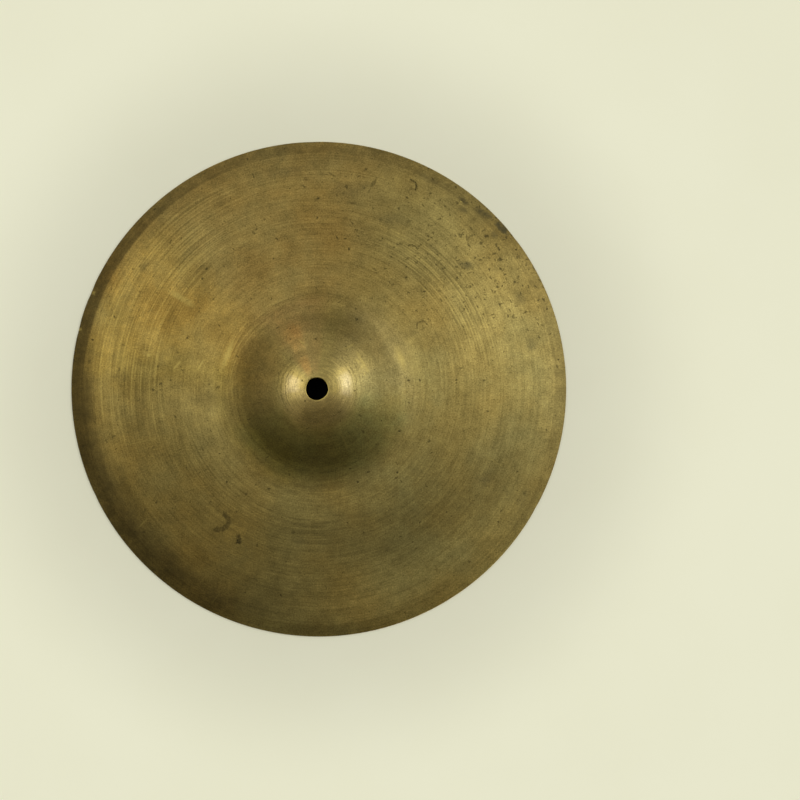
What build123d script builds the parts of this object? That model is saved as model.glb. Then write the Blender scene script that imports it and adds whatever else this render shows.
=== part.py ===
from build123d import *
import math
import os

# A 12 inch hand-finished bronze cymbal with one small mounting hole.
# It is a single disc of bell bronze: cast, rolled, pressed, hammered and turned on a lathe from one blank,
# so the whole instrument is one solid. Nothing is joined to it and nothing on it moves.
#
# Frame: the origin is the centre of the mounting hole, halfway through the metal of the bell's crown.
# +Z is the disc's axis and points out of the top of the bell. All sizes are millimetres.

# ---- driving dimensions -------------------------------------------------------------------------
DISC_D = 304.8          # outside diameter, 12 in
HOLE_D = 13.2           # mounting hole: a 1/2 in hole opened a little by years on a stand

# The section of the top face is given by how steeply it falls outwards, in degrees, at a few radii.
# Between two radii the sine of the slope runs straight, so that stretch of the section is one arc,
# or a straight line where the slope stays the same.
CROWN_SLOPE = 3.8       # at the mounting hole
FLANK_R_IN = 38.5       # the round crown ends and the bell's straight flank begins
FLANK_R_OUT = 48.6      # the flank ends at the crease of the bell's foot
FLANK_SLOPE = 30.5
CREASE_R_OUT = 51.0     # the tight inward turn at the crease ends here
CREASE_SLOPE_OUT = 17.0
FOOT_R_MID = 57.0       # the foot flattens out over two wider arcs
FOOT_SLOPE_MID = 10.0
BOW_R_IN = 68.0         # the foot has run out and the bow begins
BOW_SLOPE_IN = 4.5
BOW_R_MID = 98.0
BOW_SLOPE_MID = 8.6
BOW_R_OUT = 137.0
BOW_SLOPE_OUT = 10.2
SHOULDER_R = 144.0      # the bow rolls over towards the edge
SHOULDER_SLOPE = 13.5
BAND_R = 145.8          # the narrow turned-down band along the edge begins
BAND_SLOPE = 19.5

T_CROWN = 1.15          # wall at the mounting hole
T_FOOT = 1.05           # wall at the bell's foot
T_EDGE = 0.78           # wall at the outside edge
EDGE_ROUND = 0.26       # both corners of the outside edge are filed round
HOLE_ROUND = 0.16       # both corners of the mounting hole are broken

R_HOLE, R_RIM = HOLE_D / 2, DISC_D / 2

STATIONS = [            # radius, slope
    (R_HOLE, CROWN_SLOPE),
    (FLANK_R_IN, FLANK_SLOPE),
    (FLANK_R_OUT, FLANK_SLOPE),
    (CREASE_R_OUT, CREASE_SLOPE_OUT),
    (FOOT_R_MID, FOOT_SLOPE_MID),
    (BOW_R_IN, BOW_SLOPE_IN),
    (BOW_R_MID, BOW_SLOPE_MID),
    (BOW_R_OUT, BOW_SLOPE_OUT),
    (SHOULDER_R, SHOULDER_SLOPE),
    (BAND_R, BAND_SLOPE),
    (R_RIM, BAND_SLOPE),
]


def sin(d):
    return math.sin(math.radians(d))


def cos(d):
    return math.cos(math.radians(d))


def fall(start, end, r):
    """How far the top face has fallen since the span's start, and its slope, at radius r of that span."""
    (r0, a0), (r1, a1) = start, end
    if abs(a1 - a0) < 1e-9:
        return (r - r0) * math.tan(math.radians(a0)), a0
    curve = (r1 - r0) / (sin(a1) - sin(a0))
    here = math.degrees(math.asin(sin(a0) + (r - r0) / curve))
    return curve * (cos(a0) - cos(here)), here


def wall(r):
    """Wall thickness at radius r, square to the top face."""
    if r < FOOT_R_MID:
        return T_CROWN + (T_FOOT - T_CROWN) * (r - R_HOLE) / (FOOT_R_MID - R_HOLE)
    return T_FOOT + (T_EDGE - T_FOOT) * (r - FOOT_R_MID) / (R_RIM - FOOT_R_MID)


# ---- points along the section --------------------------------------------------------------------
# The top face passes through z = T_CROWN / 2 at the hole, so that the hole's wall is centred on the origin.
top, under = [], []     # for each span: its first, middle and last point
z = T_CROWN / 2
for start, end in zip(STATIONS, STATIONS[1:]):
    three_top, three_under = [], []
    for share in (0.0, 0.5, 1.0):
        r = start[0] + share * (end[0] - start[0])
        down, slope = fall(start, end, r)
        t = wall(r)
        three_top.append((r, z - down))
        three_under.append((r - t * sin(slope), z - down - t * cos(slope)))
    top.append(three_top)
    under.append(three_under)
    z -= fall(start, end, end[0])[0]

# The under face starts on the hole's own radius and ends on the rim's, so both of those walls are upright.
# It carries on at the band's slope to reach the rim.
under[0][0] = (R_HOLE, under[0][0][1])
under[-1][2] = (R_RIM, top[-1][2][1] - T_EDGE / cos(BAND_SLOPE))
RIM_PLANE_Z = under[-1][2][1]


def along(p, q, d):
    """The point at distance d from p towards q."""
    length = math.hypot(q[0] - p[0], q[1] - p[1])
    return (p[0] + (q[0] - p[0]) * d / length, p[1] + (q[1] - p[1]) * d / length)


def rounded(a, corner, b):
    """The fillet from a to b, both at the same distance from the corner, tangent to both sides."""
    va, vb = (a[0] - corner[0], a[1] - corner[1]), (b[0] - corner[0], b[1] - corner[1])
    half = math.acos((va[0] * vb[0] + va[1] * vb[1]) / (math.hypot(*va) * math.hypot(*vb))) / 2
    bulge = 1 - (1 / math.cos(half) - math.tan(half)) / math.cos(half)
    mid = ((a[0] + b[0]) / 2, (a[1] + b[1]) / 2)
    return ThreePointArc(a, (mid[0] + (corner[0] - mid[0]) * bulge, mid[1] + (corner[1] - mid[1]) * bulge), b)


# The four corners of the section, each rounded between two neighbours.
hole_top, hole_under = top[0][0], under[0][0]
rim_top, rim_under = top[-1][2], under[-1][2]
hole_top_face = along(hole_top, top[0][1], HOLE_ROUND)
hole_top_wall = along(hole_top, hole_under, HOLE_ROUND)
hole_under_wall = along(hole_under, hole_top, HOLE_ROUND)
hole_under_face = along(hole_under, under[0][1], HOLE_ROUND)
rim_top_face = along(rim_top, top[-1][0], EDGE_ROUND)
rim_top_wall = along(rim_top, rim_under, EDGE_ROUND)
rim_under_wall = along(rim_under, rim_top, EDGE_ROUND)
rim_under_face = along(rim_under, under[-1][0], EDGE_ROUND)


def stretch(points, start, end):
    """One span of a face: an arc, or a line where the slope doesn't change."""
    if abs(start[1] - end[1]) < 1e-9:
        return Line(points[0], points[2])
    return ThreePointArc(*points)


# ---- the section, drawn in X (radius) and Y (height), then stood up into the XZ plane ------------
top[0][0], top[-1][2] = hole_top_face, rim_top_face
under[0][0], under[-1][2] = hole_under_face, rim_under_face
spans = list(zip(STATIONS, STATIONS[1:]))

with BuildSketch(Plane.XZ) as section:
    with BuildLine():
        for points, (start, end) in zip(top, spans):                    # top face, from the hole to the rim
            stretch(points, start, end)
        rounded(rim_top_face, rim_top, rim_top_wall)
        Line(rim_top_wall, rim_under_wall)                              # outside edge
        rounded(rim_under_wall, rim_under, rim_under_face)
        for points, (start, end) in zip(under[::-1], spans[::-1]):      # under face, from the rim to the hole
            stretch(points[::-1], start, end)
        rounded(hole_under_face, hole_under, hole_under_wall)
        Line(hole_under_wall, hole_top_wall)                            # wall of the mounting hole
        rounded(hole_top_wall, hole_top, hole_top_face)
    make_face()

cymbal = revolve(section.sketch, axis=Axis.Z, revolution_arc=360).solid()
cymbal.label = "cymbal"

os.makedirs("parts", exist_ok=True)
export_step(cymbal, "parts/cymbal.step")

box = cymbal.bounding_box()
print("rim plane z", round(RIM_PLANE_Z, 3), "height", round(box.size.Z, 3), "diameter", round(box.size.X, 3))
print("hole wall z from", round(hole_under_wall[1], 3), "to", round(hole_top_wall[1], 3))
print("bell height over its crease", round(T_CROWN / 2 - top[2][0][1], 2), "bow height", round(top[2][0][1] - rim_top[1], 2))
print("volume mm3", round(cymbal.volume, 1), "mass g at 8.65 g/cm3", round(cymbal.volume * 8.65e-3, 1))
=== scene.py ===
import math

import bpy
import numpy as np
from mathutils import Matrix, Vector


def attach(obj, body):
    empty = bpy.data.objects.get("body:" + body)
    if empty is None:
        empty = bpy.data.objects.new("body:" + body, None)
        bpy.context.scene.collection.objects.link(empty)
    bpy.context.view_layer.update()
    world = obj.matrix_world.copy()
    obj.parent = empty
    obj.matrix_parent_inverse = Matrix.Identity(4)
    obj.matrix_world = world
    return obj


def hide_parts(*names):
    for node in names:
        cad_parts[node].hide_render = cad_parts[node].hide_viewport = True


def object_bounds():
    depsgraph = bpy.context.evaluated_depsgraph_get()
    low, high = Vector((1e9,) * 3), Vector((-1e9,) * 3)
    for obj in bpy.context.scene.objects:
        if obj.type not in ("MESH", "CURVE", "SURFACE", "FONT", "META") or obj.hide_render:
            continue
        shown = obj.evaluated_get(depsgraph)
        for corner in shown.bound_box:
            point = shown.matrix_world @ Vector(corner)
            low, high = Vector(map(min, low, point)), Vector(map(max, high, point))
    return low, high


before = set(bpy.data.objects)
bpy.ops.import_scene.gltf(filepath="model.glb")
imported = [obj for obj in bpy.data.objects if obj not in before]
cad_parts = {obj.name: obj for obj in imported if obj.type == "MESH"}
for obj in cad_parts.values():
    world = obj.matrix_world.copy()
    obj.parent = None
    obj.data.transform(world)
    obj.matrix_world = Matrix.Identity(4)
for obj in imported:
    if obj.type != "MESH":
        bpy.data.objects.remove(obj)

CAD_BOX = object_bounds()
MM = 0.001

# =====================================================================================================
# 1. The disc. One closed skin over the CAD node: same section, plus what a lathe, a hammer and a long life
#    on a stand leave on the metal. Radii and heights are millimetres, angles are degrees from +X towards +Y.
# =====================================================================================================
R_HOLE, R_RIM = 6.6, 152.4
T_CROWN, T_FOOT, T_EDGE = 1.15, 1.05, 0.78
# radius and slope of the top face; the slope's sine runs straight from one to the next, so each span is an arc
SLOPE_AT = np.array([(6.6, 3.8), (38.5, 30.5), (48.6, 30.5), (51.0, 17.0), (57.0, 10.0), (68.0, 4.5), (98.0, 8.6),
                     (137.0, 10.2), (144.0, 13.5), (145.8, 19.5), (152.4, 19.5)])
SLOPE_AT[:, 1] = np.sin(np.radians(SLOPE_AT[:, 1]))
_R = np.linspace(R_HOLE, R_RIM, 60001)
_S = np.interp(_R, SLOPE_AT[:, 0], SLOPE_AT[:, 1])
_T = _S / np.sqrt(1 - _S * _S)
_Z = T_CROWN / 2 - np.concatenate([[0.0], np.cumsum((_T[1:] + _T[:-1]) / 2 * np.diff(_R))])
RIM_Z = _Z[-1] - T_EDGE / math.sqrt(1 - _S[-1] ** 2)      # underside of the rim: what the disc lies on


def top_z(r):
    return np.interp(r, _R, _Z)


def slope_sin(r):
    return np.interp(r, SLOPE_AT[:, 0], SLOPE_AT[:, 1])


def wall(r):
    return np.interp(r, [R_HOLE, 57.0, R_RIM], [T_CROWN, T_FOOT, T_EDGE])


def smooth(x, a, b):
    t = np.clip((x - a) / (b - a), 0, 1)
    return t * t * (3 - 2 * t)


def turn(theta, centre, half, soft):
    """1 within half degrees of centre, falling to 0 over soft degrees more."""
    d = np.abs((theta - centre + 180) % 360 - 180)
    return 1 - smooth(d, half, half + soft)


rng = np.random.default_rng(1207)

# Groups of deeper tool marks: first and last radius, pitch, depth, and where round the disc they are still fresh
# (centre, half width, fade) over the worn level that they have everywhere else.
GROOVES = [
    (8.5, 17.5, 1.35, 0.0052, (170, 60, 50), 0.6),
    (17.5, 26.0, 1.60, 0.0085, (150, 34, 30), 0.35),
    (20.0, 31.0, 1.75, 0.0095, (25, 40, 30), 0.25),
    (33.0, 46.0, 2.40, 0.0060, (120, 60, 40), 0.5),
    (52.5, 58.5, 1.90, 0.0075, (146, 44, 26), 0.25),
    (60.0, 80.0, 2.10, 0.0042, (200, 60, 50), 0.35),
    (80.0, 93.0, 1.75, 0.0135, (245, 46, 36), 0.18),
    (84.0, 103.0, 1.60, 0.0040, (36, 30, 26), 0.25),
    (93.0, 100.0, 1.60, 0.0090, (225, 26, 24), 0.2),
    (104.0, 122.0, 2.25, 0.0038, (150, 60, 40), 0.50),
    (109.6, 112.6, 1.50, 0.0110, (248, 54, 20), 0.2),
    (114.0, 126.0, 1.65, 0.0056, (158, 44, 30), 0.30),
    (126.0, 136.0, 1.85, 0.0050, (160, 50, 40), 0.45),
]
RINGS = [  # single cut lines: radius, half width, depth, worn level, fresh sector
    (48.8, 0.75, 0.022, 0.12, (38, 30, 26)),
    (79.4, 0.60, 0.004, 0.5, (40, 60, 30)),
    (131.5, 0.70, 0.013, 0.4, (158, 44, 28)),
    (137.3, 0.75, 0.018, 0.55, (158, 36, 30)),
    (139.1, 0.65, -0.010, 0.5, (158, 36, 30)),
    (143.9, 0.80, -0.012, 1.0, (0, 181, 1)),
    (145.2, 0.65, 0.016, 1.0, (0, 181, 1)),
    (149.3, 0.70, 0.007, 0.8, (40, 70, 30)),
]
GROOVE_NOISE = [(rng.uniform(0, 1), rng.uniform(0.6, 1.0, 64), rng.uniform(-0.16, 0.16, 64)) for _ in GROOVES]


def tooling(r, theta):
    """Height of the lathe work on the top face."""
    h = np.zeros(np.broadcast(r, theta).shape)
    for (r0, r1, pitch, depth, fresh, worn), (phase, gain, jitter) in zip(GROOVES, GROOVE_NOISE):
        turns = (r - r0) / pitch + phase
        k = np.clip(np.floor(turns).astype(int), 0, 62)
        f = turns - np.floor(turns)
        g = gain[k] * (1 - f) + gain[k + 1] * f
        j = jitter[k] * (1 - f) + jitter[k + 1] * f
        env = smooth(r, r0, r0 + pitch) * (1 - smooth(r, r1 - pitch, r1))
        level = worn + (1 - worn) * turn(theta, *fresh)
        h = h - depth * g * env * level * (0.5 - 0.5 * np.cos(2 * math.pi * (turns + j)))
    for r0, w, depth, worn, fresh in RINGS:
        h = h - depth * np.exp(-((r - r0) / w) ** 2) * (worn + (1 - worn) * turn(theta, *fresh))
    return h


def dents(x, y, n, r0, r1, size, depth, seed):
    """Shallow round marks scattered between two radii."""
    g = np.random.default_rng(seed)
    h = np.zeros(x.shape)
    for _ in range(n):
        rr = math.sqrt(g.uniform(r0 * r0, r1 * r1))
        a = g.uniform(0, 2 * math.pi)
        s, d = g.uniform(*size), g.uniform(*depth)
        cx, cy = rr * math.cos(a), rr * math.sin(a)
        near = (np.abs(x - cx) < 3 * s) & (np.abs(y - cy) < 3 * s)
        h[near] -= d * np.exp(-((x[near] - cx) ** 2 + (y[near] - cy) ** 2) / (s * s))
    return h


N_ROUND = 240
ANGLES = np.arange(N_ROUND) * 360.0 / N_ROUND


def hole_edge(theta):
    """Radius of the mounting hole: worn a little out of round by the stand."""
    t = np.radians(theta)
    return (R_HOLE + 0.06 + 0.085 * np.cos(2 * t - 2.3) + 0.075 * np.cos(3 * t + 0.5)
            + 0.04 * np.cos(5 * t + 1.1) + 0.13 * turn(theta, 128, 4, 16) - 0.10 * turn(theta, 20, 8, 14))


NICKS = [(156.9, 2.0, 0.34), (165.9, 1.6, 0.26), (331.0, 1.6, 0.18), (38.0, 1.5, 0.22), (205.5, 1.5, 0.16), (92.0, 1.5, 0.14)]


def rim_edge(theta):
    """Radius of the outside edge: round, with a few small nicks."""
    r = np.full(theta.shape, R_RIM - 0.03) + 0.02 * np.sin(np.radians(theta * 3 + 20)) - 0.02
    for centre, half, depth in NICKS:
        d = np.abs((theta - centre + 180) % 360 - 180)
        r = r - depth * np.exp(-(d / (half * 0.75)) ** 2)
    return r


def stations(pairs):
    out = []
    for a, b, step in pairs:
        n = max(int(round((b - a) / step)), 1)
        out += list(a + (b - a) * np.arange(n) / n)
    return np.array(out + [pairs[-1][1]])


# radii of the rings across the top and the underside, kept clear of the two rounded edges
TOP_R = stations([(7.15, 12.0, 0.48), (12.0, 33.0, 0.46), (33.0, 46.0, 0.62), (46.0, 59.0, 0.46), (59.0, 79.0, 0.62),
                  (79.0, 104.0, 0.43), (104.0, 113.0, 0.52), (113.0, 127.0, 0.45), (127.0, 136.0, 0.52),
                  (136.0, 140.0, 0.40), (140.0, 143.0, 0.6), (143.0, 146.4, 0.36), (146.4, 151.7, 0.53)])
UNDER_R = stations([(7.3, 12.0, 1.1), (12.0, 46.0, 1.55), (46.0, 60.0, 1.1), (60.0, 143.0, 1.60), (143.0, 151.5, 0.95)])

theta = ANGLES[None, :]
tr = np.radians(theta)


def face_top():
    r = np.repeat(TOP_R[:, None], N_ROUND, 1)
    # the innermost and outermost rings follow the uneven hole and rim
    r = r + (hole_edge(theta) - R_HOLE - 0.06) * (1 - smooth(r, 7.0, 10.5)) + (rim_edge(theta) - R_RIM + 0.03) * smooth(r, 147.5, 151.7)
    x, y = r * np.cos(tr), r * np.sin(tr)
    h = tooling(r, theta) * smooth(r, 6.9, 8.0) * (1 - smooth(r, 151.2, 152.2))
    h = h + dents(x, y, 420, 60, 141, (4.5, 8.0), (0.008, 0.030), 5) + dents(x, y, 90, 12, 46, (3.5, 6.0), (0.006, 0.018), 6)
    h = h + dents(x, y, 26, 60, 149, (1.6, 2.6), (0.010, 0.028), 7)
    t = np.radians(theta)
    h = h - 0.030 * (1 + np.cos(2 * t + 0.6)) * smooth(r, 60, 150) - 0.020 * (1 + np.cos(3 * t - 1.1)) * smooth(r, 60, 150)
    h = h * (1 - 0.6 * smooth(r, 149.5, 152.4))
    s = slope_sin(r)
    return np.stack([(r + h * s) * np.cos(tr), (r + h * s) * np.sin(tr), top_z(r) + h * np.sqrt(1 - s * s)], -1)


def face_under():
    r = np.repeat(UNDER_R[::-1][:, None], N_ROUND, 1)
    r = r + (hole_edge(theta) - R_HOLE - 0.06) * (1 - smooth(r, 7.0, 10.5)) + (rim_edge(theta) - R_RIM + 0.03) * smooth(r, 147.5, 151.5)
    # the foot of the normal: the point of the top face whose wall ends at this radius
    q = r + wall(r) * slope_sin(r)
    q = np.minimum(r + wall(q) * slope_sin(np.minimum(q, R_RIM)), R_RIM)
    s = slope_sin(q)
    z = np.where(q < R_RIM - 1e-6, top_z(q) - wall(q) * np.sqrt(1 - s * s), RIM_Z + (R_RIM - r) * s / np.sqrt(1 - s * s))
    x, y = r * np.cos(tr), r * np.sin(tr)
    h = dents(x, y, 420, 60, 141, (4.5, 8.0), (0.008, 0.030), 8)
    h = h - 0.016 * (0.5 - 0.5 * np.cos(2 * math.pi * r / 5.3)) * smooth(r, 60, 66) * (1 - smooth(r, 140, 144))
    h = -h * (1 - smooth(r, 148.0, 151.0)) * smooth(r, 8, 10)         # marks are cut up into the metal
    return np.stack([x, y, z + h], -1)


def lip(outer, n, arc):
    """Rings round one edge. outer(theta) gives the edge radius; arc gives (radius offset, z) pairs."""
    rows = []
    for dr, z in arc:
        r = outer(theta) + dr
        rows.append(np.stack([r * np.cos(tr), r * np.sin(tr), np.full(r.shape, 0.0) + z], -1))
    return rows


top, under = face_top(), face_under()

# rounded outside edge, from the top face down to the underside
RE = 0.26
z_te = float(top_z(R_RIM))
rim_rows = []
for k, (dr, dz) in enumerate([(-0.17, -0.02), (-0.06, -0.09), (-0.005, -0.22), (0.0, -0.40), (-0.005, -0.56), (-0.06, -0.68), (-0.18, -0.755)]):
    rr = rim_edge(theta) + dr
    zz = z_te + dz * (z_te - RIM_Z) / 0.80 + (R_RIM - rim_edge(theta)) * 0.10
    rim_rows.append(np.stack([rr * np.cos(tr), rr * np.sin(tr), zz], -1)[0])
# worn mounting hole, from the underside up to the top face
z_th = float(top_z(R_HOLE)) - 0.02
hole_rows = []
for dr, dz in [(0.34, -1.12), (0.14, -1.05), (0.03, -0.92), (0.0, -0.72), (0.0, -0.46), (0.05, -0.24), (0.15, -0.11), (0.32, -0.045)]:
    rr = hole_edge(theta) + dr
    hole_rows.append(np.stack([rr * np.cos(tr), rr * np.sin(tr), np.full(rr.shape, z_th + dz)], -1)[0])

rows = [top[i] for i in range(top.shape[0])] + rim_rows + [under[i] for i in range(under.shape[0])] + hole_rows
co = np.stack(rows, 0)                       # rings x round x 3
co[..., 2] = np.minimum(co[..., 2], T_CROWN / 2 - 0.085)
co[..., 2] = np.maximum(co[..., 2], CAD_BOX[0][2] / MM + 0.004)
n_rings = co.shape[0]

i = np.arange(n_rings)[:, None]
j = np.arange(N_ROUND)[None, :]
i2, j2 = (i + 1) % n_rings, (j + 1) % N_ROUND
quads = np.stack([i * N_ROUND + j, i2 * N_ROUND + j, i2 * N_ROUND + j2, i * N_ROUND + j2], -1).reshape(-1, 4)

mesh = bpy.data.meshes.new("cymbal_disc")
mesh.from_pydata((co.reshape(-1, 3) * MM).tolist(), [], quads.tolist())
mesh.update()
mesh.polygons.foreach_set("use_smooth", [True] * len(mesh.polygons))

# Unrolled layout for baking: u goes once round the disc, v goes along the section, so lathe lines stay straight.
step = np.linalg.norm(np.diff(np.concatenate([co[:, 0], co[:1, 0]], 0), axis=0), axis=1)
scale = np.ones(n_rings)
n_top = top.shape[0]
scale[:n_top + 3] = 1.75                      # the top face gets most of the texture
v_at = np.concatenate([[0.0], np.cumsum(step * scale)])
v_at = 0.002 + 0.996 * v_at / v_at[-1]
uv = mesh.uv_layers.new(name="OFBake")
vv = np.stack([np.broadcast_to(v_at[i], (n_rings, N_ROUND)), np.broadcast_to(v_at[i + 1], (n_rings, N_ROUND)),
               np.broadcast_to(v_at[i + 1], (n_rings, N_ROUND)), np.broadcast_to(v_at[i], (n_rings, N_ROUND))], -1)
uu = np.stack([np.broadcast_to(j / N_ROUND, (n_rings, N_ROUND)), np.broadcast_to(j / N_ROUND, (n_rings, N_ROUND)),
               np.broadcast_to((j + 1) / N_ROUND, (n_rings, N_ROUND)), np.broadcast_to((j + 1) / N_ROUND, (n_rings, N_ROUND))], -1)
uvs = np.stack([uu, 1.0 - vv], -1).reshape(-1)
uv.data.foreach_set("uv", uvs.astype(np.float32))

disc = bpy.data.objects.new("cymbal_disc", mesh)
bpy.context.scene.collection.objects.link(disc)
print("cymbal_disc rings", n_rings, "triangles", 2 * len(mesh.polygons))


# =====================================================================================================
# 2. Materials
# =====================================================================================================
class Nodes:
    """A few short ways of making shader nodes."""

    def __init__(self, tree):
        self.t = tree

    def put(self, kind, inputs=None, **props):
        n = self.t.nodes.new(kind)
        for k, v in props.items():
            setattr(n, k, v)
        for k, v in (inputs or {}).items():
            self.set(n.inputs[k], v)
        return n

    def set(self, socket, v):
        if isinstance(v, bpy.types.NodeSocket):
            self.t.links.new(v, socket)
        else:
            socket.default_value = v

    def math(self, op, a, b=None, c=None, clamp=False):
        n = self.put("ShaderNodeMath", operation=op, use_clamp=clamp)
        for k, v in enumerate((a, b, c)):
            if v is not None:
                self.set(n.inputs[k], v)
        return n.outputs[0]

    def vec(self, op, a, b=None, scale=None):
        n = self.put("ShaderNodeVectorMath", operation=op)
        self.set(n.inputs[0], a)
        if b is not None:
            self.set(n.inputs[1], b)
        if scale is not None:
            self.set(n.inputs["Scale"], scale)
        return n.outputs["Value"] if op in ("LENGTH", "DOT_PRODUCT", "DISTANCE") else n.outputs["Vector"]

    def xyz(self, x, y, z):
        return self.put("ShaderNodeCombineXYZ", {0: x, 1: y, 2: z}).outputs[0]

    def noise(self, vector, scale, detail=2.0, rough=0.5, distortion=0.0, dims="3D"):
        n = self.put("ShaderNodeTexNoise", {"Scale": scale, "Detail": detail, "Roughness": rough, "Distortion": distortion}, noise_dimensions=dims)
        self.set(n.inputs["Vector" if dims != "1D" else "W"], vector)
        return n.outputs[0]

    def ramp(self, v, a, b, lo=0.0, hi=1.0):
        n = self.put("ShaderNodeMapRange", {"Value": v, "From Min": a, "From Max": b, "To Min": lo, "To Max": hi},
                     interpolation_type="SMOOTHSTEP", clamp=False)
        return n.outputs["Result"]

    def mix(self, f, a, b, blend="MIX"):
        n = self.put("ShaderNodeMix", data_type="RGBA", blend_type=blend)
        self.set(n.inputs[0], f)
        for k, v in ((6, a), (7, b)):
            self.set(n.inputs[k], tuple(v) + (1.0,) if isinstance(v, (tuple, list)) and len(v) == 3 else v)
        return n.outputs[2]


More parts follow.
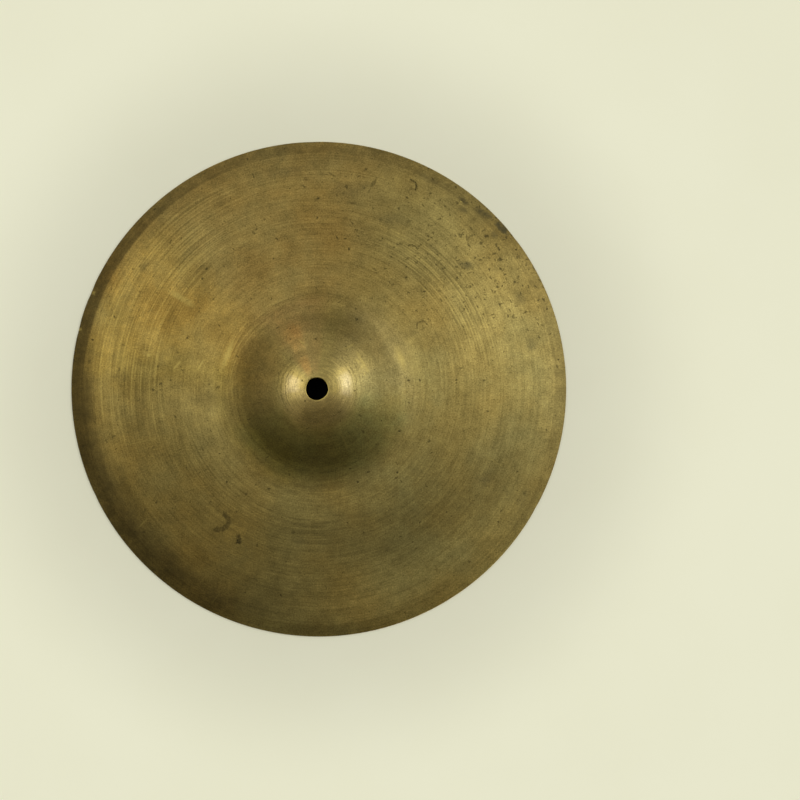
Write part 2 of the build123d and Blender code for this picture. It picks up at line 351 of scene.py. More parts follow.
def bronze():
    mat = bpy.data.materials.new("aged_bronze")
    mat.use_nodes = True
    t = mat.node_tree
    t.nodes.clear()
    N = Nodes(t)
    out = N.put("ShaderNodeOutputMaterial")
    bsdf = N.put("ShaderNodeBsdfPrincipled")
    t.links.new(bsdf.outputs[0], out.inputs["Surface"])
    bsdf.inputs["Metallic"].default_value = 1.0
    bsdf.inputs["Anisotropic"].default_value = 0.5
    bsdf.inputs["Anisotropic Rotation"].default_value = 0.25

    # position in millimetres, radius, and a point that moves slowly round the disc but fast across it
    P = N.vec("SCALE", N.put("ShaderNodeTexCoord").outputs["Object"], scale=1000.0)
    sep = N.put("ShaderNodeSeparateXYZ", {0: P})
    x, y, z = sep.outputs
    r = N.math("SQRT", N.math("ADD", N.math("MULTIPLY", x, x), N.math("MULTIPLY", y, y)))
    flat = N.xyz(x, y, 0.0)
    unit = N.vec("NORMALIZE", flat)
    us = N.put("ShaderNodeSeparateXYZ", {0: unit})
    ux, uy = us.outputs[0], us.outputs[1]

    def around(cross, along, offset=0.0):
        """A noise coordinate: cross cycles per mm of radius, along cells per radian round the disc."""
        return N.xyz(N.math("MULTIPLY", ux, along), N.math("MULTIPLY", uy, along), N.math("MULTIPLY_ADD", r, cross, offset))

    geo = N.put("ShaderNodeNewGeometry")
    # the underside is told from the top by which way the surface faces
    up = N.ramp(N.put("ShaderNodeSeparateXYZ", {0: geo.outputs["True Normal"]}).outputs[2], -0.1, 0.1)

    def sector(deg, half, soft):
        """1 within half degrees of a direction from the centre, falling to 0 over soft degrees more."""
        d = N.vec("DOT_PRODUCT", unit, (math.cos(math.radians(deg)), math.sin(math.radians(deg)), 0.0))
        return N.ramp(d, math.cos(math.radians(min(half + soft, 180))), math.cos(math.radians(half)))

    def zone(r0, r1, soft, deg, half, fade, at=None):
        """A stretch of the disc: between two radii, round one direction."""
        rad = N.math("MULTIPLY", N.ramp(at or r, r0 - soft, r0 + soft), N.ramp(at or r, r1 - soft, r1 + soft, 1.0, 0.0))
        return N.math("MULTIPLY", rad, sector(deg, half, fade))

    def most(parts):
        total = None
        for p in parts:
            total = p if total is None else N.math("MAXIMUM", total, p)
        return total

    def centred(v):
        return N.math("SUBTRACT", v, 0.5)

    # ---- turning lines at four pitches, fresher in a few stretches ----
    lines = N.math("MULTIPLY", centred(N.noise(around(1.12, 3.4, 11.0), 1.0, 0.0)), 0.68)
    for cross, along, offset, amount in ((0.62, 3.0, 40.0, 0.12), (0.27, 2.4, 70.0, 0.02), (0.14, 1.6, 90.0, 0.045)):
        lines = N.math("MULTIPLY_ADD", centred(N.noise(around(cross, along, offset), 1.0, 0.0)), amount, lines)
    fresh = most(zone(*q) for q in FRESH)
    cut = most(zone(*q) for q in CUT)
    lines = N.math("MULTIPLY", lines, N.math("MULTIPLY_ADD", fresh, 0.60, N.math("MULTIPLY_ADD", cut, 0.40, 0.60)))
    lines = N.math("MULTIPLY", lines, N.math("MULTIPLY", N.ramp(r, 44.0, 58.0, 0.62, 1.0), N.ramp(r, 17.0, 27.0, 1.5, 1.0)))

    # ---- blotches, smudges, grain ----
    wob = N.put("ShaderNodeSeparateColor", {0: N.put("ShaderNodeTexNoise", {"Vector": P, "Scale": 0.55, "Detail": 2.0}).outputs["Color"]}).outputs
    wob = N.vec("SCALE", N.xyz(centred(wob[0]), centred(wob[1]), 0.0), scale=2.6)
    Q = N.vec("ADD", flat, wob)
    cloud = N.noise(flat, 0.016, 4.0, 0.55)
    cloud2 = N.noise(N.vec("ADD", flat, (300.0, 70.0, 0.0)), 0.045, 4.0, 0.6)
    grain = N.noise(flat, 0.85, 3.0, 0.65)
    mottle = centred(N.noise(N.vec("ADD", flat, (40.0, 510.0, 0.0)), 0.11, 6.0, 0.90))
    speck = centred(N.noise(N.vec("ADD", flat, (7.0, 220.0, 0.0)), 1.15, 1.0, 0.5))

    BASE = (0.322, 0.244, 0.068)
    STAIN = (0.060, 0.048, 0.017)
    LIGHT = (0.570, 0.440, 0.112)

    col = N.mix(N.ramp(cloud, 0.34, 0.66), (0.312, 0.246, 0.074), (0.328, 0.236, 0.062))
    # how bright the metal is, from the hole outwards: partly wear and dirt (rubbed crown, dirt on the flank and in the
    # foot), partly painted highlight on the crown and painted shade on the bell's steep flank and foot
    curve = N.put("ShaderNodeValToRGB")
    ramp = curve.color_ramp
    for k, (rad, level) in enumerate(WORN_AND_SHADED_LEVEL):
        e = ramp.elements[k] if k < 2 else ramp.elements.new(rad / 160.0)
        e.position = rad / 160.0
        e.color = (level / 2, level / 2, level / 2, 1.0)
    rw = N.math("MULTIPLY_ADD", centred(N.noise(around(0.06, 1.8, 13.0), 1.0, 2.0)), 3.5, r)
    N.set(curve.inputs[0], N.math("DIVIDE", rw, 160.0))
    level = N.put("ShaderNodeSeparateColor", {0: curve.outputs[0]}).outputs[0]
    gain = N.math("MULTIPLY", level, 2.0)
    gain = N.math("MULTIPLY", gain, N.math("ADD", lines, 1.0))
    polished = N.ramp(rw, 15.0, 27.0)
    gain = N.math("MULTIPLY", gain, N.math("MULTIPLY_ADD", mottle, N.math("MULTIPLY_ADD", polished, 0.70, 0.95), 1.0))
    gain = N.math("MULTIPLY", gain, N.math("MULTIPLY_ADD", speck, N.math("MULTIPLY_ADD", polished, 0.45, 0.60), 1.0))
    # darker and brighter stretches: partly tarnish, partly painted shade and painted highlight
    for amount, *q in TARNISH_AND_PAINTED_LIGHT:
        gain = N.math("MULTIPLY", gain, N.math("MULTIPLY_ADD", zone(*q, at=rw), amount, 1.0))
    gain = N.math("MULTIPLY", gain, N.ramp(cloud2, 0.40, 0.72, 1.03, 0.90))
    col = N.mix(1.0, col, N.put("ShaderNodeCombineColor", {0: gain, 1: gain, 2: gain}).outputs[0], "MULTIPLY")
    for tint, amount, spread in TINTS:
        where = N.math("MULTIPLY", most(zone(*q, at=rw) for q in spread), N.ramp(N.math("ADD", cloud2, mottle), 0.34, 0.62, amount * 0.6, amount))
        col = N.mix(where, col, tint, "MULTIPLY")

    # ---- pits: small everywhere, larger in the upper right ----
    def pits(cell, radius, density, seed, at=Q):
        v = N.put("ShaderNodeTexVoronoi", {"Vector": N.vec("ADD", at, (seed, seed * 0.7, 0.0)), "Scale": 1.0 / cell, "Randomness": 1.0}, voronoi_dimensions="2D")
        c = N.put("ShaderNodeSeparateColor", {0: v.outputs["Color"]})
        size = N.math("MULTIPLY_ADD", c.outputs[0], radius / cell * 0.8, radius / cell * 0.35)
        dot = N.ramp(N.math("DIVIDE", v.outputs["Distance"], size), 0.55, 1.15, 1.0, 0.0)
        keep = N.math("LESS_THAN", c.outputs[1], density)
        return N.math("MULTIPLY", dot, keep)

    right = N.ramp(N.vec("DISTANCE", flat, (102.0, 82.0, 0.0)), 20.0, 74.0, 0.55, 0.0)
    small = N.math("MULTIPLY", pits(2.9, 0.36, 0.42, 11.0), 0.55)
    medium = N.math("MULTIPLY", pits(6.2, 0.85, N.math("ADD", right, 0.07), 37.0), 0.8)
    dirt = N.math("MAXIMUM", small, medium)
    # short scrapes, which lie two ways
    for deg, seed in ((28, 53.0), (-58, 71.0)):
        ca, sa = math.cos(math.radians(deg)), math.sin(math.radians(deg))
        lying = N.xyz(N.vec("DOT_PRODUCT", Q, (ca / 2.7, sa / 2.7, 0.0)), N.vec("DOT_PRODUCT", Q, (-sa, ca, 0.0)), 0.0)
        dirt = N.math("MAXIMUM", dirt, N.math("MULTIPLY", pits(3.7, 0.50, N.math("MULTIPLY_ADD", right, 0.85, 0.035), seed, lying), 0.70))

    # ---- marks with a place of their own: x, y, radius along, radius across, turn, strength, hardness ----
    def blob(cx, cy, a, b, deg, amount, hard=0.5, at=Q):
        ca, sa = math.cos(math.radians(deg)), math.sin(math.radians(deg))
        d = N.vec("SUBTRACT", at, (cx, cy, 0.0))
        if abs(a - b) < 1e-6:
            q = N.math("DIVIDE", N.vec("LENGTH", d), a)
        else:
            u, v = N.vec("DOT_PRODUCT", d, (ca / a, sa / a, 0.0)), N.vec("DOT_PRODUCT", d, (-sa / b, ca / b, 0.0))
            q = N.math("SQRT", N.math("MULTIPLY_ADD", u, u, N.math("MULTIPLY", v, v)))
        return N.ramp(q, hard, 1.0, amount, 0.0)

    marks = most(blob(*m) for m in MARKS)
    for cx, cy, rad, wid, a0, a1, amount in ARCS:
        # part of a thin ring: a curved scrape
        d = N.vec("SUBTRACT", Q, (cx, cy, 0.0))
        ring = N.ramp(N.math("ABSOLUTE", N.math("SUBTRACT", N.vec("LENGTH", d), rad)), wid * 0.4, wid, 1.0, 0.0)
        mid_a, half = math.radians((a0 + a1) / 2), math.radians((a1 - a0) / 2)
        side = N.vec("DOT_PRODUCT", N.vec("NORMALIZE", d), (math.cos(mid_a), math.sin(mid_a), 0.0))
        marks = N.math("MAXIMUM", marks, N.math("MULTIPLY", ring, N.ramp(side, math.cos(half) - 0.12, math.cos(half), 0.0, amount)))
    dirt = N.math("MAXIMUM", dirt, marks)
    dirt = N.math("MULTIPLY", dirt, N.ramp(N.noise(flat, 0.75, 2.0, 0.6), 0.33, 0.62, 0.55, 1.0))
    dirt = N.math("MULTIPLY", dirt, N.math("MULTIPLY_ADD", up, 0.6, 0.4))
    col = N.mix(dirt, col, STAIN)

    smudge = most(blob(*m) for m in SMUDGES)
    smudge = N.math("MULTIPLY", smudge, N.ramp(N.noise(flat, 0.22, 4.0, 0.65), 0.3, 0.62, 0.35, 1.0))
    smudge = N.math("MULTIPLY", smudge, up)
    col = N.mix(smudge, col, (0.085, 0.078, 0.036))

    # ---- tarnish along the edge, partly painted shade: uneven on the outer bow, heavier to the lower left and lighter to the lower right, then the darker band, darkest on the left side where the edge faces away from the light ----
    creep = N.math("MULTIPLY", centred(N.noise(around(0.05, 3.2, 20.0), 1.0, 3.0, 0.6)), 7.0)
    rc = N.math("ADD", r, creep)
    lower_left, lower_right = sector(213, 32, 26), sector(300, 30, 30)
    outer = N.math("MULTIPLY", N.ramp(rc, 129.0, 145.0), N.math("MULTIPLY_ADD", lower_left, 0.36, 0.24))
    outer = N.math("MULTIPLY", outer, N.math("SUBTRACT", 1.0, most([lower_right, sector(155, 12, 14)])))
    band = N.ramp(N.math("MULTIPLY_ADD", creep, 0.07, r), 143.8, 145.5)
    # painted shade: the band is darker on the left side and lighter to the lower right
    band = N.math("MULTIPLY", band, N.math("MULTIPLY_ADD", N.ramp(ux, -0.9, 0.2, 1.0, 0.0), 0.16, 0.44))
    band = N.math("MULTIPLY", band, N.math("MULTIPLY_ADD", lower_right, -0.85, 1.0))
    edge = N.math("MULTIPLY", N.math("MAXIMUM", outer, band), N.ramp(mottle, -0.12, 0.12, 1.12, 0.88))
    col = N.mix(edge, col, (0.062, 0.046, 0.016))

    # ---- rubbed bright metal round the hole, on the very edge and in a few scratches, and painted highlights where the light falls on the bell's foot and beside the crown ----
    lip_ = N.ramp(N.math("ADD", r, N.math("MULTIPLY", grain, 0.35)), 7.10, 7.42, 0.9, 0.0)
    bright = N.math("MAXIMUM", lip_, N.math("MULTIPLY", N.math("MULTIPLY", fresh, up), N.ramp(lines, 0.03, 0.20, 0.0, 0.16)))
    scratches_and_highlights = None
    for ax, ay, bx, by, wid, amount in SCRATCHES:
        # distance to a short straight line
        A, B = Vector((ax, ay)), Vector((bx, by))
        L = (B - A).length
        ux_, uy_ = (B - A) / L
        d = N.vec("SUBTRACT", flat, (ax, ay, 0.0))
        along = N.vec("DOT_PRODUCT", d, (ux_, uy_, 0.0))
        across = N.math("ABSOLUTE", N.vec("DOT_PRODUCT", d, (-uy_, ux_, 0.0)))
        inside = N.math("MULTIPLY", N.ramp(along, -0.8, 0.8), N.ramp(along, L - 0.8, L + 0.8, 1.0, 0.0))
        line = N.math("MULTIPLY", N.ramp(across, wid * 0.25, wid, amount, 0.0), inside)
        scratches_and_highlights = line if scratches_and_highlights is None else N.math("MAXIMUM", scratches_and_highlights, line)
    # painted highlights: the glints on the bell's foot and beside the crown
    scratches_and_highlights = N.math("MAXIMUM", scratches_and_highlights, most(blob(*m) for m in BRIGHT_MARKS_AND_HIGHLIGHTS))
    bright = N.math("MAXIMUM", bright, N.math("MULTIPLY", scratches_and_highlights, up))
    col = N.mix(bright, col, LIGHT)
    t.links.new(col, bsdf.inputs["Base Color"])

    # ---- roughness ----
    rough = N.math("MULTIPLY_ADD", lines, 0.08, N.ramp(rw, 13.0, 27.0, 0.185, 0.36))
    rough = N.math("ADD", rough, N.ramp(cloud2, 0.3, 0.7, -0.02, 0.05))
    rough = N.math("ADD", rough, N.math("MULTIPLY", dirt, 0.16))
    rough = N.math("ADD", rough, N.math("MULTIPLY", smudge, 0.10))
    rough = N.math("SUBTRACT", rough, N.math("MULTIPLY", bright, 0.07))
    rough = N.math("ADD", rough, N.math("MULTIPLY", N.math("SUBTRACT", grain, 0.5), 0.06), clamp=True)
    t.links.new(rough, bsdf.inputs["Roughness"])

    # ---- relief too fine for the mesh: turning lines, grain and pits ----
    height = N.math("MULTIPLY", lines, 0.0080)
    height = N.math("ADD", height, N.math("MULTIPLY", centred(grain), 0.0080))
    height = N.math("SUBTRACT", height, N.math("MULTIPLY", dirt, 0.010))
    bump = N.put("ShaderNodeBump", {"Height": height, "Distance": 0.001, "Strength": 1.0})
    t.links.new(bump.outputs[0], bsdf.inputs["Normal"])
    return mat


# How bright the metal is painted at each radius, against the bow's own level: partly wear and dirt, partly painted
# highlight on the crown and painted shade on the bell's steep flank and foot.
WORN_AND_SHADED_LEVEL = [(7.0, 1.42), (10.0, 1.47), (14.5, 1.52), (17.5, 1.50), (20.5, 1.34), (24.0, 1.10), (28.0, 0.99), (33.0, 0.84),
              (37.0, 0.69), (44.0, 0.65), (48.5, 0.74), (52.0, 0.98), (56.0, 1.00), (61.0, 1.09), (68.0, 1.08), (77.0, 1.04),
              (100.0, 1.03), (120.0, 1.06), (152.0, 1.07)]
# Darker and brighter stretches, partly tarnish and partly painted shade and painted highlight where the metal faces
# away from or towards the light: change in brightness, then where, as from and to radius, softness, direction, half
# width, fade.
TARNISH_AND_PAINTED_LIGHT = [(-0.15, 82, 138, 8, 200, 18, 16), (0.34, 117, 158, 9, 304, 17, 17), (0.14, 127, 158, 5, 68, 12, 14),
          (-0.14, 132, 158, 5, 33, 12, 14), (-0.08, 34, 47, 4, 262, 28, 22),
          (0.13, 104, 140, 6, 158, 14, 14), (0.15, 122, 140, 5, 185, 12, 12), (-0.17, 122, 143, 5, 246, 11, 12),
          (-0.17, 112, 132, 6, 335, 10, 13), (0.10, 58, 80, 5, 280, 32, 14), (0.13, 46, 53, 2, 190, 40, 20),
          (0.18, 17, 24, 2, 205, 26, 16), (0.16, 17, 23, 2, 16, 16, 14), (-0.10, 19, 25, 2, 110, 18, 12),
          (-0.20, 147, 158, 1, 170, 24, 10), (0.18, 143, 158, 2, 246, 9, 10), (0.16, 146, 158, 2, 305, 9, 10),
          (-0.10, 146, 158, 2, 275, 8, 8), (-0.12, 146, 158, 2, 335, 10, 10),
          (-0.15, 139, 158, 3, 186, 12, 12), (-0.19, 130, 146, 4, 216, 9, 12), (-0.16, 27, 37, 3, 276, 13, 14), (-0.12, 39, 47, 2, 236, 40, 20),
          (0.20, 9, 20, 2, 214, 12, 14), (0.16, 21, 26, 2, 228, 22, 14), (0.11, 24, 35, 3, 80, 22, 16), (0.10, 40, 47, 3, 24, 34, 16),
          (0.11, 92, 150, 6, 275, 9, 12), (0.12, 53, 60, 3, 156, 10, 14), (0.09, 134, 145, 3, 4, 9, 12), (0.17, 25, 41, 4, 113, 4, 9)]
# Where the turning lines are still fresh: from and to radius, softness, direction, half width, fade.
FRESH = [(96, 139, 4, 155, 24, 24), (51, 60, 2, 150, 24, 26), (86, 112, 6, 40, 14, 22)]
# Where they are only a little sharper than elsewhere.
CUT = [(77, 101, 3, 236, 26, 22), (9, 25, 3, 165, 34, 30), (9, 27, 3, 22, 32, 30)]
# Tints laid over the bronze: colour, strength, and where, in the same terms as above.
TINTS = [
    ((0.97, 1.03, 1.50), 1.00, [(0, 21, 5, 0, 180, 1)]),                                                          # pale, rubbed crown, partly painted highlight: whiter where the light falls on the polished crown
    ((1.19, 1.06, 0.98), 1.00, [(11, 21, 3, 115, 4, 8), (24, 41, 4, 114, 3, 8)]),                                 # copper showing through
    ((1.16, 1.21, 1.85), 1.00, [(11, 19, 3, 169, 9, 14), (14, 21, 3, 9, 11, 16)]),                                # palest beside the hole: painted highlight where the light falls, on top of the rubbing
    ((1.05, 0.945, 0.98), 0.95, [(9, 56, 4, 107, 14, 14)]),
    ((1.00, 1.00, 1.15), 1.00, [(0, 23, 4, 262, 70, 26)]),
    ((1.02, 0.98, 0.84), 0.90, [(40, 62, 5, 208, 40, 22)]),
    ((1.05, 0.97, 0.93), 0.70, [(28, 54, 5, 170, 26, 24), (30, 60, 5, 132, 20, 20)]),                             # brown, left of the bell
    ((0.92, 1.03, 1.00), 0.95, [(26, 56, 5, 280, 62, 24)]),                                                       # green, below it
    ((0.96, 1.02, 1.10), 0.95, [(20, 140, 8, 334, 30, 22)]),
    ((1.00, 1.00, 1.10), 0.90, [(16, 60, 6, 25, 30, 22)]),
    ((1.04, 0.955, 0.90), 1.00, [(56, 160, 10, 118, 32, 22)]),                                                    # brown, top left
    ((1.04, 0.975, 0.86), 0.90, [(84, 160, 8, 196, 44, 22)]),
    ((1.00, 1.02, 0.92), 0.70, [(56, 142, 8, 156, 14, 14)]),
]

# Dark marks. Millimetres on the disc, seen from above.
MARKS = [
    (-54.9, -79.6, 1.2, 2.6, 0, 0.45, 0.20), (-62.6, -85.4, 1.8, 1.1, 25, 0.75, 0.30), (-48.6, -92.0, 2.3, 4.0, 8, 0.80, 0.55),
    (-48.7, -93.0, 2.1, 2.7, 0, 1.00, 0.50),
    (-59.9, -39.3, 1.2, 0.9, 20, 0.85, 0.4), (-29.9, -61.0, 1.9, 0.9, -18, 0.75, 0.4),
    (-22.2, -78.2, 1.0, 0.9, 0, 0.60, 0.4), (-44.0, -64.3, 0.8, 0.8, 0, 0.60, 0.4), (-37.5, -95.5, 1.2, 0.9, 0, 0.65, 0.4),
    (-93.7, -90.1, 0.9, 0.9, 0, 0.45, 0.4), (-106.5, -74.1, 0.9, 0.9, 0, 0.45, 0.4),
    (-107.7, 74.3, 2.4, 4.4, -32, 0.42, 0.1), (-109.0, 75.5, 1.3, 2.0, -20, 0.55, 0.3), (-90.6, 90.5, 1.0, 1.7, -15, 0.65, 0.4),
    (-83.8, 92.3, 0.9, 0.9, 0, 0.55, 0.4), (-79.6, 31.6, 0.9, 1.1, 0, 0.70, 0.4), (-85.6, 22.4, 0.9, 0.9, 0, 0.70, 0.4),
    (-45.2, 75.5, 0.9, 0.9, 0, 0.45, 0.4), (-109.5, 59.6, 1.1, 0.9, 0, 0.50, 0.4), (-122.0, 12.0, 1.0, 2.0, 0, 0.50, 0.3),
    (-119.5, 27.0, 2.2, 0.7, -10, 0.45, 0.3), (-141.0, 17.0, 1.8, 1.4, 0, 0.55, 0.2), (-121.0, 2.0, 1.2, 1.0, 0, 0.50, 0.3),
    (3.7, 65.0, 0.9, 0.9, 0, 0.55, 0.4), (90.0, -30.0, 1.0, 0.8, 0, 0.50, 0.4), (72.4, -110.8, 1.4, 1.0, 30, 0.45, 0.4),
    (38.0, -119.4, 1.3, 0.9, 0, 0.45, 0.4), (42.0, -98.3, 2.4, 1.6, 20, 0.30, 0.3),
    (87.2, 94.2, 1.9, 1.7, -10, 0.75, 0.3), (90.6, 93.2, 1.1, 1.9, 10, 0.70, 0.3), (103.2, 94.1, 2.4, 1.2, -8, 0.85, 0.3),
    (99.7, 89.9, 1.9, 0.9, 35, 0.75, 0.3), (101.4, 87.6, 1.4, 0.9, -30, 0.60, 0.3),
    (109.4, 88.4, 1.0, 2.0, 20, 0.85, 0.3), (110.8, 86.0, 1.6, 1.0, -45, 0.90, 0.3), (101.6, 80.6, 1.1, 0.8, 0, 0.65, 0.3),
    (104.2, 80.8, 1.2, 0.8, 20, 0.60, 0.3), (111.9, 79.6, 1.9, 1.3, -5, 0.90, 0.3), (111.9, 74.1, 1.0, 1.4, 25, 0.85, 0.3),
    (108.4, 79.4, 1.0, 0.8, 0, 0.60, 0.3), (110.1, 62.6, 1.0, 1.0, 0, 0.85, 0.4), (112.6, 63.5, 0.9, 0.9, 0, 0.80, 0.4),
    (108.3, 66.4, 1.0, 0.8, 40, 0.60, 0.4), (108.2, 59.5, 1.2, 1.0, 0, 0.75, 0.3), (120.5, 65.7, 1.6, 1.2, 40, 0.75, 0.3),
    (122.2, 68.2, 1.6, 0.8, 30, 0.55, 0.3), (74.1, 60.1, 1.2, 1.1, 0, 0.80, 0.4), (60.4, 77.6, 1.0, 1.4, 0, 0.55, 0.3),
    (117.3, 48.5, 1.9, 1.0, -50, 0.65, 0.3), (119.6, 44.6, 1.2, 1.8, 10, 0.60, 0.3), (121.5, 51.0, 1.2, 0.8, 0, 0.60, 0.3),
    (137.5, 39.2, 1.6, 1.1, 10, 0.45, 0.3), (43.6, 65.2, 0.8, 2.1, 38, 0.75, 0.3), (45.6, 63.6, 1.3, 0.8, 20, 0.60, 0.3),
    (34.0, 126.6, 4.4, 1.5, 61, 0.66, 0.3), (31.0, 121.4, 2.4, 0.9, 56, 0.55, 0.3), (-7.5, 129.0, 2.3, 1.7, 0, 0.50, 0.2),
    (-9.2, 124.3, 2.5, 0.9, -10, 0.60, 0.3), (7.4, 132.3, 2.3, 0.8, -42, 0.50, 0.3), (9.7, 130.9, 2.0, 0.7, -42, 0.45, 0.3),
    (17.2, 123.8, 1.1, 2.1, 0, 0.80, 0.4), (15.5, 119.8, 1.0, 1.1, 0, 0.50, 0.3), (68.8, 120.0, 1.1, 0.9, 0, 0.75, 0.4),
    (29.1, 135.0, 1.6, 1.1, 30, 0.75, 0.4), (27.4, 133.4, 1.0, 0.8, 0, 0.50, 0.3), (70.4, 95.6, 1.0, 0.9, 0, 0.60, 0.4),
    (-0.8, 116.3, 2.4, 1.7, 20, 0.40, 0.1), (9.7, 107.9, 3.2, 1.8, 0, 0.38, 0.1), (20.8, 101.8, 2.1, 0.8, -32, 0.70, 0.3),
    (23.4, 97.2, 1.1, 1.0, 0, 0.75, 0.4), (24.3, 93.7, 2.0, 0.8, -35, 0.55, 0.3), (11.7, 92.5, 2.1, 0.9, -62, 0.80, 0.3),
    (38.4, 103.5, 2.1, 2.0, 0, 0.36, 0.1), (43.2, 98.2, 1.5, 1.3, 0, 0.45, 0.2), (38.4, 90.8, 2.2, 0.7, -12, 0.60, 0.3),
    (50.7, 89.0, 1.3, 2.0, 20, 0.55, 0.3), (55.6, 102.7, 1.8, 1.9, 0, 0.45, 0.2), (21.2, 113.7, 3.4, 0.7, -12, 0.45, 0.3),
    (57.3, 123.0, 2.5, 1.0, -12, 0.45, 0.3), (36.0, 87.6, 2.4, 0.7, -12, 0.50, 0.3),
    (34.4, 72.8, 2.2, 0.8, -20, 0.60, 0.3), (35.6, 71.0, 1.6, 0.8, 10, 0.55, 0.3), (127.0, -63.4, 3.2, 1.3, 65, 0.60, 0.3),
    (117.0, -81.5, 1.3, 0.8, 0, 0.45, 0.3), (64.5, 37.0, 2.3, 1.4, 30, 0.45, 0.2),
]
# Curved scrapes: centre, radius, half width, from and to angle, strength.
ARCS = [
    (-60.3, -80.8, 5.2, 2.0, -118, 66, 0.72),
    (56.2, 124.4, 4.0, 0.85, -38, 88, 0.90), (57.0, 120.6, 1.6, 0.5, 120, 300, 0.45), (57.2, 84.6, 3.4, 0.75, 10, 125, 0.75),
    (63.5, 38.3, 3.2, 0.8, 20, 200, 0.60), (96.0, 90.5, 4.5, 0.7, 110, 230, 0.50), (38.6, 118.0, 3.4, 0.6, 20, 140, 0.30),
    (0.0, 0.0, 21.8, 0.50, 138, 214, 0.42), (0.3, 0.2, 19.6, 0.40, 146, 200, 0.45), (0.0, 0.0, 17.6, 0.34, 150, 196, 0.36),
    (-0.4, 0.2, 23.8, 0.45, 128, 190, 0.30), (0.0, 0.0, 13.4, 0.34, 150, 200, 0.26), (0.4, 0.2, 21.6, 0.45, 4, 66, 0.42),
    (0.0, 0.0, 23.9, 0.45, -16, 52, 0.32), (0.0, 0.0, 26.6, 0.45, 12, 62, 0.26), (0.0, 0.0, 19.0, 0.34, -14, 26, 0.28),
    (0.2, 0.0, 12.2, 0.34, -30, 30, 0.24),
]
# Soft smudges.
SMUDGES = [
    (89.4, 110.0, 5.0, 3.2, -25, 0.50, 0.1), (89.2, 115.4, 5.5, 2.4, -40, 0.75, 0.2), (101.5, 108.2, 9.0, 3.0, -28, 0.85, 0.2),
    (112.8, 99.4, 8.0, 3.6, -44, 0.98, 0.3), (108.0, 95.0, 5.0, 3.0, -40, 0.50, 0.1), (90.0, 76.4, 6.8, 4.4, -14, 0.72, 0.1),
    (72.0, 87.0, 7.0, 5.0, 10, 0.30, 0.0), (130.4, 27.0, 5.4, 6.6, 10, 0.42, 0.1), (124.0, 56.0, 4.6, 7.0, 35, 0.34, 0.0),
    (101.8, -55.4, 10.0, 7.0, 20, 0.42, 0.0), (64.3, -75.6, 8.0, 5.0, 0, 0.30, 0.0), (70.0, 128.0, 16.0, 3.4, -28, 0.42, 0.0),
    (45.0, 104.0, 12.0, 7.0, 0, 0.34, 0.0), (57.0, 34.0, 7.0, 5.0, 0, 0.22, 0.0), (-11.1, -93.5, 8.0, 5.6, 5, 0.34, 0.0),
    (-106.0, 77.0, 6.0, 3.2, 55, 0.30, 0.0), (-122.0, 8.0, 8.0, 7.0, 0, 0.30, 0.0),
    (20.0, 122.0, 22.0, 8.0, 0, 0.24, 0.0), (-20.0, 133.0, 16.0, 5.0, 8, 0.34, 0.0), (120.0, 20.0, 8.0, 6.0, 0, 0.18, 0.0),
    (-60.0, -100.0, 16.0, 6.0, -30, 0.16, 0.0), (125.5, -68.0, 5.0, 10.0, -28, 0.32, 0.0), (24.0, 45.0, 14.0, 8.0, -30, 0.22, 0.0),
]
# Bare scratches: from, to, half width, strength.
SCRATCHES = [
    (-110.0, -84.5, -105.5, -80.0, 0.7, 0.25), (-66.0, -132.0, -60.0, -124.5, 0.7, 0.12), (58.0, -14.0, 80.0, -38.0, 0.7, 0.14),
    (103.0, -41.0, 112.0, -47.0, 0.7, 0.16), (40.0, -28.0, 66.0, -33.0, 0.6, 0.12), (-73.5, 11.8, -69.8, 17.6, 0.85, 0.42),
    (-88.2, 12.2, -84.2, 16.6, 0.85, 0.42), (-117.0, -34.0, -100.0, -30.5, 0.7, 0.14), (-90.0, -24.0, -86.0, -46.0, 0.6, 0.10),
    (24.0, 22.0, 31.0, 10.0, 1.2, 0.20), (16.0, 24.0, 22.0, 27.0, 1.0, 0.22), (-10.6, 29.2, -7.8, 27.0, 0.8, 0.35),
    (-10.0, -18.0, -11.5, -33.0, 0.9, 0.14), (0.5, -15.0, 0.0, -34.0, 0.9, 0.13), (12.0, -20.0, 18.0, -36.0, 0.9, 0.13),
]
# Small bright spots, brushed patches and edge nicks, partly painted highlights: the bright arcs on the bell's foot and
# the spots beside the crown are light falling on the metal.
BRIGHT_MARKS_AND_HIGHLIGHTS = [
    (-104.0, 20.6, 1.7, 1.3, -20, 0.60, 0.2), (-105.0, 21.6, 5.0, 3.2, -20, 0.22, 0.0), (-138.4, 59.1, 1.7, 1.7, 0, 0.50, 0.2),
    (-147.0, 37.0, 1.7, 1.6, 0, 0.60, 0.2), (-150.5, 24.0, 1.0, 1.0, 0, 0.40, 0.2), (87.4, 115.2, 0.9, 0.9, 0, 0.60, 0.2),
    (-85.0, 56.4, 12.0, 2.8, -28, 0.40, 0.25), (-79.0, 52.6, 6.0, 3.2, -28, 0.34, 0.1),
    (-54.8, 21.5, 2.9, 14.0, -21, 0.60, 0.1), (50.5, 19.0, 4.0, 12.0, 20, 0.34, 0.0), (58.0, 14.0, 7.0, 15.0, 12, 0.14, 0.0), (-120.0, 18.0, 7.0, 15.0, 10, 0.14, 0.0),
    (-122.0, 50.0, 6.0, 16.0, 24, 0.12, 0.0), (28.5, 9.0, 1.0, 1.0, 0, 0.35, 0.2), (24.5, 17.0, 3.0, 1.4, -35, 0.30, 0.1), (27.0, 13.5, 2.0, 1.2, 60, 0.25, 0.1),
]

disc.data.materials.append(bronze())
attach(disc, "root")
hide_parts("cymbal")

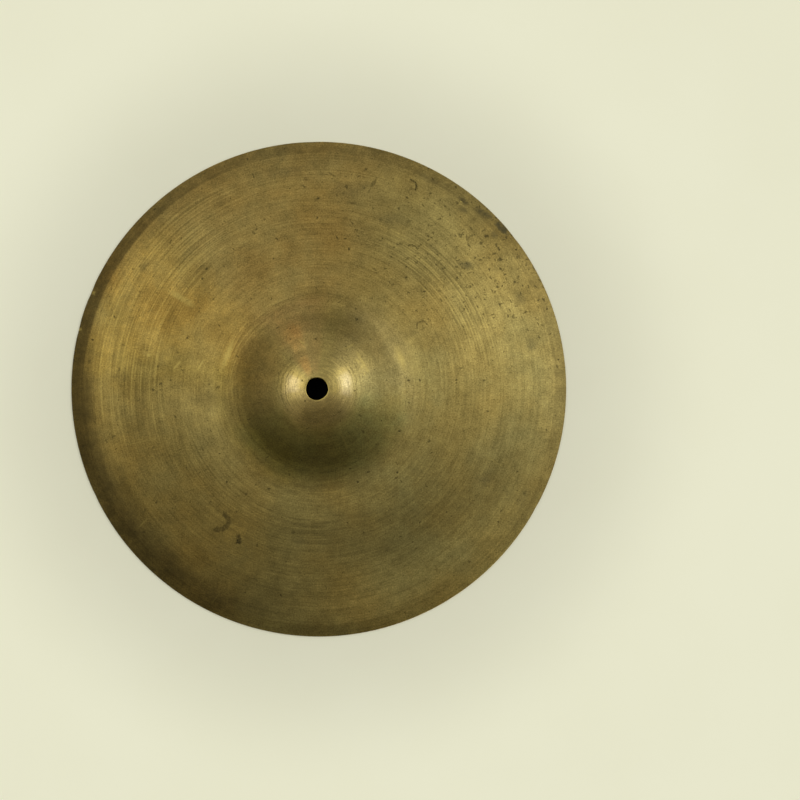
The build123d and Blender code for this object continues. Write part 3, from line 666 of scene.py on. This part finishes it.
# =====================================================================================================
# 3. Stage: floor, soft light, camera
# =====================================================================================================
FLOOR_Z = CAD_BOX[0][2]
bpy.ops.mesh.primitive_plane_add(size=14.0, location=(0, 0, FLOOR_Z))
floor = bpy.context.object
floor.name = "floor"
fm = bpy.data.materials.new("floor_pale")
fm.use_nodes = True
F = Nodes(fm.node_tree)
fb = fm.node_tree.nodes["Principled BSDF"]
fb.inputs["Roughness"].default_value = 0.75
fb.inputs["Specular IOR Level"].default_value = 0.15
fp = F.put("ShaderNodeTexCoord").outputs["Object"]
pale = F.mix(F.ramp(F.noise(fp, 5.0, 4.0, 0.6), 0.35, 0.7), (0.845, 0.830, 0.615), (0.870, 0.858, 0.645))
# the floor under the disc is painted dark, a painted shadow, so the floor seen through the mounting hole is dark
beyond_painted_shadow = F.ramp(F.vec("LENGTH", fp), 0.120, 0.140)
F.set(fb.inputs["Base Color"], F.mix(beyond_painted_shadow, (0.012, 0.010, 0.007), pale))
# the floor gives off light of its own to stay pale, a painted light, and less of it from 250 mm in towards the disc, a
# painted soft shadow round it
fb.inputs["Emission Color"].default_value = (1.0, 1.01, 0.745, 1.0)
F.set(fb.inputs["Emission Strength"], F.math("MULTIPLY", beyond_painted_shadow, F.ramp(F.vec("LENGTH", fp), 0.150, 0.250, 0.125, 0.262)))
floor.data.materials.append(fm)


def make_world(base, horizon, lobes):
    """Soft light from all round: an even base, a pale band at the horizon like the walls of a room,
    and wide soft patches like big diffusers. Each patch is azimuth and elevation in degrees, tightness, brightness."""
    w = bpy.data.worlds.new("studio")
    bpy.context.scene.world = w
    w.use_nodes = True
    w.node_tree.nodes.clear()
    W = Nodes(w.node_tree)
    wo = W.put("ShaderNodeOutputWorld")
    bg = W.put("ShaderNodeBackground", {"Strength": 1.0})
    w.node_tree.links.new(bg.outputs[0], wo.inputs["Surface"])
    d = W.vec("NORMALIZE", W.put("ShaderNodeTexCoord").outputs["Generated"])
    up = W.put("ShaderNodeSeparateXYZ", {0: d}).outputs[2]
    band = W.math("DIVIDE", W.math("SUBTRACT", up, 0.05), 0.2236)
    band = W.math("EXPONENT", W.math("MULTIPLY", W.math("MULTIPLY", band, band), -1.0))
    total = W.vec("ADD", W.xyz(*base), W.vec("SCALE", W.xyz(*horizon), scale=band))
    for az, el, k, level in lobes:
        a, e = math.radians(az), math.radians(el)
        u = (math.cos(e) * math.cos(a), math.cos(e) * math.sin(a), math.sin(e))
        f = W.math("EXPONENT", W.math("MULTIPLY", W.math("SUBTRACT", W.vec("DOT_PRODUCT", d, u), 1.0), k))
        total = W.vec("ADD", total, W.vec("SCALE", W.xyz(*LIGHT_TINT), scale=W.math("MULTIPLY", f, level)))
    w.node_tree.links.new(total, bg.inputs["Color"])


LIGHT_TINT = (1.0, 1.0, 1.06)
make_world((0.112, 0.108, 0.096), (0.51, 0.50, 0.42), [
    (30, 12, 14, 0.070), (60, 12, 14, 0.311), (120, 12, 14, 0.570), (150, 12, 14, 0.287), (180, 12, 14, 0.529),
    (330, 12, 14, 0.336), (0, 30, 16, 0.968), (30, 30, 16, 0.666), (60, 30, 16, 0.146), (90, 30, 16, 0.268),
    (120, 30, 16, 0.489), (0, 47, 22, 0.298), (24, 47, 22, 0.974), (96, 47, 22, 0.262), (20, 60, 34, 1.305),
    (160, 60, 34, 0.188), (15, 70, 60, 0.257), (105, 70, 60, 0.318), (165, 70, 60, 1.758), (180, 70, 60, 0.060),
    (225, 70, 60, 0.063), (96, 79, 80, 0.200), (240, 79, 80, 0.097), (312, 79, 80, 0.119), (0, 90, 80, 0.260),
])

cam_data = bpy.data.cameras.new("camera")
cam_data.sensor_width = 36.0
cam_data.lens = 36.0 * 1.5 / 0.4928
cam_data.clip_start = 0.05
cam = bpy.data.objects.new("camera", cam_data)
cam.location = (0.0500, -0.0067, FLOOR_Z + 1.5)
bpy.context.scene.collection.objects.link(cam)
bpy.context.scene.camera = cam

bpy.context.scene.view_settings.view_transform = "Standard"
bpy.context.scene.view_settings.look = "None"
